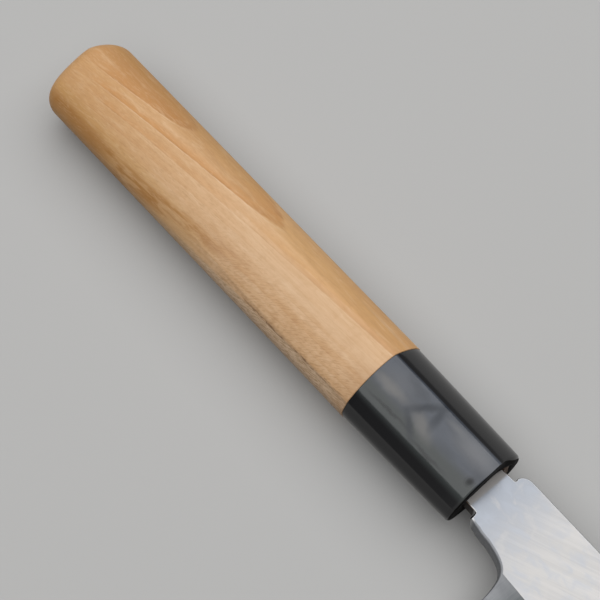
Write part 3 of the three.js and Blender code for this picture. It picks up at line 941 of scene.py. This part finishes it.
def magnolia_material():
    s = Wood()
    wood_rings(s)
    wood_clouds(s)
    wood_vein(s)
    fibre, fleck = wood_fibres(s)
    worn = s.step(s.z, PLAIN_BELOW, WORN_ABOVE)
    stroke = torn_grain(s, worn)
    scratch, chip = worn_ridge(s, worn)
    # painted shade: the wood is darker on the edge side next to the ferrule
    painted_ferrule_shade = s.product(s.step(s.x, -7, -0.5, 0, 0.3), s.step(s.y, 0, -5))
    s.paint(painted_ferrule_shade, (0.42, 0.235, 0.115))
    s.paint(s.step(s.x, -0.3, -0.05, 0, 0.35), (0.30, 0.16, 0.07))
    torn = s.math("MULTIPLY_ADD", scratch, 0.8, stroke)
    hurt = s.math("MULTIPLY_ADD", chip, 1.6, s.math("MULTIPLY_ADD", fleck, 0.6, torn))
    height = s.math("SUBTRACT", s.product(fibre, 0.5), hurt)
    return s.finish(s.step(fibre, 0.3, 0.7, 0.48, 0.62), height, 0.28, 0.1, Specular_IOR_Level=0.3)


# Horn

HORN_BLACK = (0.003, 0.003, 0.004)
HORN_STIR = 1.1
# Streaks of the figure and of painted reflection on the crown, seen from above: start, end, width, share
# and colour
HORN_FIGURE_AND_REFLECTION = (
    ((2, -0.8), (8.5, -0.8), 4.0, 0.45, (0.115, 0.117, 0.124)),
    ((0, -2.1), (9.6, -2.0), 1.6, 0.75, (0.155, 0.150, 0.144)),
    ((12.8, -1.9), (18.5, -4.0), 2.2, 0.8, (0.14, 0.136, 0.130)),
    ((23, 1.2), (33, 1.3), 3.2, 0.8, (0.142, 0.146, 0.158)),
    ((19, 2.0), (24, 2.0), 1.3, 0.5, (0.150, 0.152, 0.160)),
    ((20, -2.9), (26.5, -2.9), 1.3, 0.35, (0.022, 0.028, 0.036)),
    ((10.6, -3.2), (17.0, 4.2), 1.3, 0.95, (0.010, 0.016, 0.026)),
    ((11, -3.1), (16.2, -6.4), 1.2, 0.9, (0.010, 0.015, 0.022)),
    ((16.1, 4.2), (17.6, -2.0), 1.5, 0.9, (0.012, 0.019, 0.031)),
    ((15, -6.4), (27, -6.4), 0.6, 0.8, (0.002, 0.004, 0.005)),
    ((0.5, -5.9), (15, -5.4), 0.5, 0.8, (0.002, 0.004, 0.005)),
)
DARK_SPOT_START, DARK_SPOT_END, DARK_SPOT_WIDTH = (31.4, -3.9), (31.7, -3.5), 1.3


def horn_streak(s, place, start, end, width):
    """One for points on the line from start to end, seen from above, falling to nought round it."""
    start, end = Vector((*start, 0)), Vector((*end, 0))
    middle, along = (start + end) / 2, (end - start).normalized()
    across = Vector((-along.y, along.x, 0))
    centred = s.vector("SUBTRACT", place, middle)
    u = s.math("DIVIDE", s.dot(centred, along), (end - start).length / 2 + width)
    v = s.math("DIVIDE", s.dot(centred, across), width)
    away = s.vector("LENGTH", s.join(u, v, 0.0), output="Value")
    return s.step(away, 1.15, 0.1)


def horn_material():
    """Black, with a smoky figure on the crown: pale tongues and lines among dark veins, on a paler band
    that is partly painted reflection of the panel overhead.
    """
    s = Surface("horn")
    stir = s.node("TexNoise", {"Vector": s.spot, "Scale": 0.35, "Detail": 2.0}).outputs["Color"]
    stir = s.vector("SUBTRACT", stir, (0.5, 0.5, 0.5))
    stirred = s.vector("MULTIPLY_ADD", stir, (HORN_STIR, HORN_STIR, HORN_STIR), s.spot)
    cloud = s.noise(stirred, (0.06, 0.2, 0.2), 3, 0.6, shift=2.3)
    # the crown's paler grey is partly painted reflection of the panel overhead and partly the horn's own
    # figure
    s.colour = s.blend(s.step(cloud, 0.35, 0.65), (0.044, 0.051, 0.065), (0.066, 0.076, 0.096))
    s.paint(s.step(s.y, -2.5, -5), (0.039, 0.046, 0.045))
    for start, end, width, share, shade in HORN_FIGURE_AND_REFLECTION:
        s.paint(s.product(horn_streak(s, stirred, start, end, width), share), shade)
    # painted reflection in part: only the crown keeps the paler colour, the sides stay black
    crown = s.product(s.step(s.y, -8.5, -6.5), s.step(s.y, 4.3, 3.7), s.step(s.z, 2, 5))
    s.colour = s.blend(crown, HORN_BLACK, s.colour)
    scuff = s.noise(s.spot, (0.4, 3.5, 3.5), 3)
    # a small dark spot on the horn, also rougher
    dark_spot = horn_streak(s, s.spot, DARK_SPOT_START, DARK_SPOT_END, DARK_SPOT_WIDTH)
    s.paint(s.product(dark_spot, 0.8), (0.012, 0.012, 0.012))
    rough = s.math("MULTIPLY_ADD", dark_spot, 0.6, s.step(scuff, 0.35, 0.8, 0.06, 0.12))
    return s.finish(rough, scuff, 0.03, 0.02, IOR=1.52)


def cut_horn_material():
    """The cut end of the horn, matt and black, with saw marks."""
    s = Surface("cut_horn")
    marks = s.noise(s.spot, (0.5, 0.6, 5.0), 3)
    s.colour = s.blend(s.step(marks, 0.35, 0.7), (0.003, 0.003, 0.003), (0.010, 0.009, 0.008))
    return s.finish(s.step(marks, 0.3, 0.7, 0.55, 0.7), marks, 0.1, 0.05, Specular_IOR_Level=0.05)


# Metal and resin

# Angles of the grinding lines to the blade's length
FLAT_GRIND, BEVEL_GRIND, HONE_GRIND, URA_GRIND = (math.radians(turn) for turn in (21.8, 86, 4, 90))
NECK_STRIP_START, NECK_STRIP_STOP = MOUTH_X + 1.5, MOUTH_X + 0.7  # the neck is darker, browner and less metallic in a strip beside the ferrule
CHOIL_PAINTED_SHADE = (0.19, 0.195, 0.205)
SCALE_RUST = (0.16, 0.10, 0.065)


def ground_lines(s, turn):
    """Fine grinding lines at an angle to the blade's length: a coarse and a fine set."""
    lines = s.turned(turn)
    return s.noise(lines, (0.03, 1.1, 0.3), 3), s.noise(lines, (0.06, 9.0, 0.6), 2, shift=4)


def iron_flat_material():
    s = Surface("iron_flat")
    coarse, fine = ground_lines(s, FLAT_GRIND)
    s.colour = s.blend(s.step(coarse, 0.3, 0.7), (0.358, 0.351, 0.346), (0.398, 0.388, 0.382))
    # painted shade: the flat turns darker and bluer towards the neck
    s.paint(s.step(s.x, MACHI_X + 18, MACHI_X - 1), (0.256, 0.274, 0.307))
    s.paint(s.step(fine, 0.45, 0.75, 0, 0.25), (0.27, 0.273, 0.28))
    mottle = s.noise(s.spot, (0.3, 0.45, 0.4), 3, 0.5, shift=6)
    s.paint(s.step(mottle, 0.45, 0.75, 0, 0.5), (0.30, 0.32, 0.36))
    s.paint(s.step(mottle, 0.5, 0.25, 0, 0.4), (0.385, 0.372, 0.364))
    neck_strip = s.step(s.x, NECK_STRIP_START, NECK_STRIP_STOP)
    s.paint(neck_strip, s.blend(fine, (0.29, 0.275, 0.265), (0.36, 0.345, 0.335)))
    rough = s.math("MULTIPLY_ADD", neck_strip, 0.3, s.step(fine, 0.3, 0.7, 0.28, 0.33))
    metal = s.math("MULTIPLY_ADD", neck_strip, -0.8, 1.0)
    return s.finish(rough, fine, 0.02, 0.02, Metallic=metal)


def iron_bevel_material():
    s = Surface("iron_bevel")
    coarse, fine = ground_lines(s, BEVEL_GRIND)
    cloud = s.noise(s.spot, (0.08, 0.25, 0.25), 3, 0.8)
    s.colour = s.blend(s.step(cloud, 0.3, 0.7), (0.135, 0.14, 0.148), (0.18, 0.185, 0.193))
    s.paint(s.step(s.x, HEEL_X, HEEL_X + 5, 0, 0.8), (0.082, 0.088, 0.092))
    s.paint(s.step(fine, 0.4, 0.75, 0, 0.2), (0.24, 0.245, 0.25))
    return s.finish(s.step(coarse, 0.3, 0.7, 0.34, 0.42), fine, 0.03, 0.02, Metallic=1.0)


def polished_material(name, low, high):
    """Bright metal, greyer on the choil in painted shade, with forge scale left on the neck's sides and the
    tang.
    """
    s = Surface(name)
    coarse, fine = ground_lines(s, HONE_GRIND)
    s.colour = s.blend(s.step(coarse, 0.3, 0.7), low, high)
    choil = s.product(
        s.step(s.x, MACHI_X + 0.4, MACHI_X + 1.6),
        s.step(s.x, HEEL_X + 2, HEEL_X + 0.5),
        s.step(s.y, MACHI_Y + 1, MACHI_Y + 0.3),
    )
    # painted shade: the choil is greyer, for the dark surroundings that it mirrors
    s.paint(choil, CHOIL_PAINTED_SHADE)
    above = s.math("SUBTRACT", s.z, NECK_THICKNESS / 2)
    scale = s.product(s.step(s.x, MACHI_X - 0.3, MACHI_X - 1.0), s.step(above, -0.045, -0.075))
    crust = s.blend(coarse, (0.010, 0.008, 0.007), (0.035, 0.027, 0.022))
    s.paint(scale, s.blend(s.step(above, -0.2, -0.14), crust, SCALE_RUST))
    rough = s.math("MULTIPLY_ADD", scale, 0.4, s.step(fine, 0.3, 0.7, 0.16, 0.26))
    rough = s.math("MULTIPLY_ADD", choil, 0.24, rough)
    metal = s.math("MULTIPLY_ADD", scale, -0.9, 1.0)
    return s.finish(rough, fine, 0.04, 0.02, Metallic=metal)


def ura_material():
    """The hollow back, ground across the blade."""
    s = Surface("ura_hollow")
    coarse, fine = ground_lines(s, URA_GRIND)
    s.colour = s.blend(s.step(coarse, 0.3, 0.7), (0.40, 0.405, 0.415), (0.50, 0.50, 0.505))
    return s.finish(s.step(fine, 0.3, 0.7, 0.24, 0.36), fine, 0.08, 0.02, Metallic=1.0)


def resin_material():
    s = Surface("resin")
    cloud = s.noise(s.spot, (0.7, 0.7, 0.7), 3)
    ramp = s.node("ValToRGB", {0: cloud})
    stops = (0.3, (0.055, 0.029, 0.016)), (0.7, (0.14, 0.08, 0.046))
    for element, (place, shade) in zip(ramp.color_ramp.elements, stops):
        element.position = place
        element.color = (*shade, 1)
    s.colour = ramp.outputs[0]
    return s.finish(s.step(cloud, 0.3, 0.7, 0.45, 0.65), cloud)


# Stage, in metres

FLOOR_SHADE = (0.48, 0.478, 0.472)
FLOOR_BOUNCE = (0.20, 0.199, 0.197)  # of the floor, as a light
FLOOR_ROUGHNESS = 0.75
FLOOR_RADIUS, FLOOR_SIDES = 4, 96
GLOW_START, GLOW_FULL = 0.24 / MM, 0.7 / MM  # where the floor turns to an even shade
WORLD_DARK, WORLD_PALE = 0.2, 0.55  # of the surround in reflections, behind the butt and past the tip
DARK_UNTIL, PALE_FROM = -0.32, 0.12  # X of the directions between which it turns pale
WORLD_FILL = 0.06  # of the surround, as a light
PANEL_HEIGHT = 0.8
PANEL_RADIANCE = 1.5
PANEL_LOW = Vector((-1.3, -1.11)) * PANEL_HEIGHT  # its reach from the ferrule, towards butt and edge side
PANEL_HIGH = Vector((0.8, 1.5)) * PANEL_HEIGHT
CAMERA_NEAR, CAMERA_FAR = 0.01, 20


def floor_material():
    """Pale, with the knife's shadow near by and an even shade further off."""
    s = Surface("floor")
    seen = s.seen_ray()
    s.colour = s.blend(seen, FLOOR_BOUNCE, FLOOR_SHADE)
    s.finish(FLOOR_ROUGHNESS, Specular_IOR_Level=0.1)
    away = s.vector("LENGTH", s.spot, output="Value")
    glow = s.node("Emission", {"Color": (*FLOOR_SHADE, 1), "Strength": 1.0}).outputs[0]
    share = s.product(seen, s.step(away, GLOW_START, GLOW_FULL))
    mixed = s.node("MixShader", {0: share, 1: s.shader.outputs[0], 2: glow}).outputs[0]
    s.links.new(mixed, s.nodes["Material Output"].inputs["Surface"])
    return s.material


def make_floor():
    bm = bmesh.new()
    bmesh.ops.create_circle(bm, cap_ends=True, segments=FLOOR_SIDES, radius=FLOOR_RADIUS)
    floor = add_mesh("floor", bm, [floor_material()])


def make_world():
    """A plain grey surround that shows in reflections and lights the object only a little."""
    world = bpy.data.worlds.new("studio")
    world.use_nodes = True
    s = Nodes(world.node_tree)
    shade = s.step(s.axes(s.place("Generated"))[0], DARK_UNTIL, PALE_FROM, WORLD_DARK, WORLD_PALE)
    mixed = s.node("Mix", {"Factor": s.seen_ray(), "A": WORLD_FILL, "B": shade}).outputs["Result"]
    s.feed(s.nodes["Background"].inputs["Color"], mixed)
    bpy.context.scene.world = world


def make_light():
    """One soft panel over the knife, which faces down. Radiance 1 shows as white."""
    middle = Vector((ORIGIN.x + MOUTH_X / 2, ORIGIN.y)) * MM + (PANEL_LOW + PANEL_HIGH) / 2
    size_x, size_y = PANEL_HIGH - PANEL_LOW
    light = bpy.data.lights.new("overhead", "AREA")
    light.shape = "RECTANGLE"
    light.size, light.size_y = size_x, size_y
    light.energy = PANEL_RADIANCE * math.pi * size_x * size_y
    lamp = add_object("overhead", light)
    lamp.location = (*middle, PANEL_HEIGHT)
    lamp.visible_camera = False


def make_camera():
    data = bpy.data.cameras.new("camera")
    data.sensor_width, data.lens = CAMERA_SENSOR, CAMERA_LENS
    data.clip_start, data.clip_end = CAMERA_NEAR, CAMERA_FAR
    rise, turn = CAMERA_ELEVATION, CAMERA_TURN
    right = Vector((math.cos(turn), math.sin(turn), 0))
    back = Vector((math.cos(rise) * math.sin(turn), -math.cos(rise) * math.cos(turn), math.sin(rise)))
    facing = Matrix((right, back.cross(right), back)).transposed().to_4x4()
    camera = add_object("camera", data)
    camera.matrix_world = Matrix.Translation((ORIGIN + CAMERA_PLACE) * MM) @ facing
    bpy.context.scene.camera = camera


# The knife on its stage

make_handle(magnolia_material())
make_ferrule(horn_material(), cut_horn_material())
resin = resin_material()
make_filler(resin)
wall = polished_material("iron_wall", (0.40, 0.405, 0.412), (0.46, 0.46, 0.465))
make_body(iron_flat_material(), iron_bevel_material(), wall)
hone = polished_material("steel_bevel", (0.44, 0.445, 0.455), (0.53, 0.535, 0.54))
make_steel(hone, ura_material(), polished_material("steel_wall", (0.42, 0.425, 0.432), (0.48, 0.48, 0.485)))
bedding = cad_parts["tang_bedding"]
bedding.data.materials.clear()
bedding.data.materials.append(resin)

make_floor()
make_world()
make_light()
make_camera()
bpy.context.scene.view_settings.view_transform = "Standard"
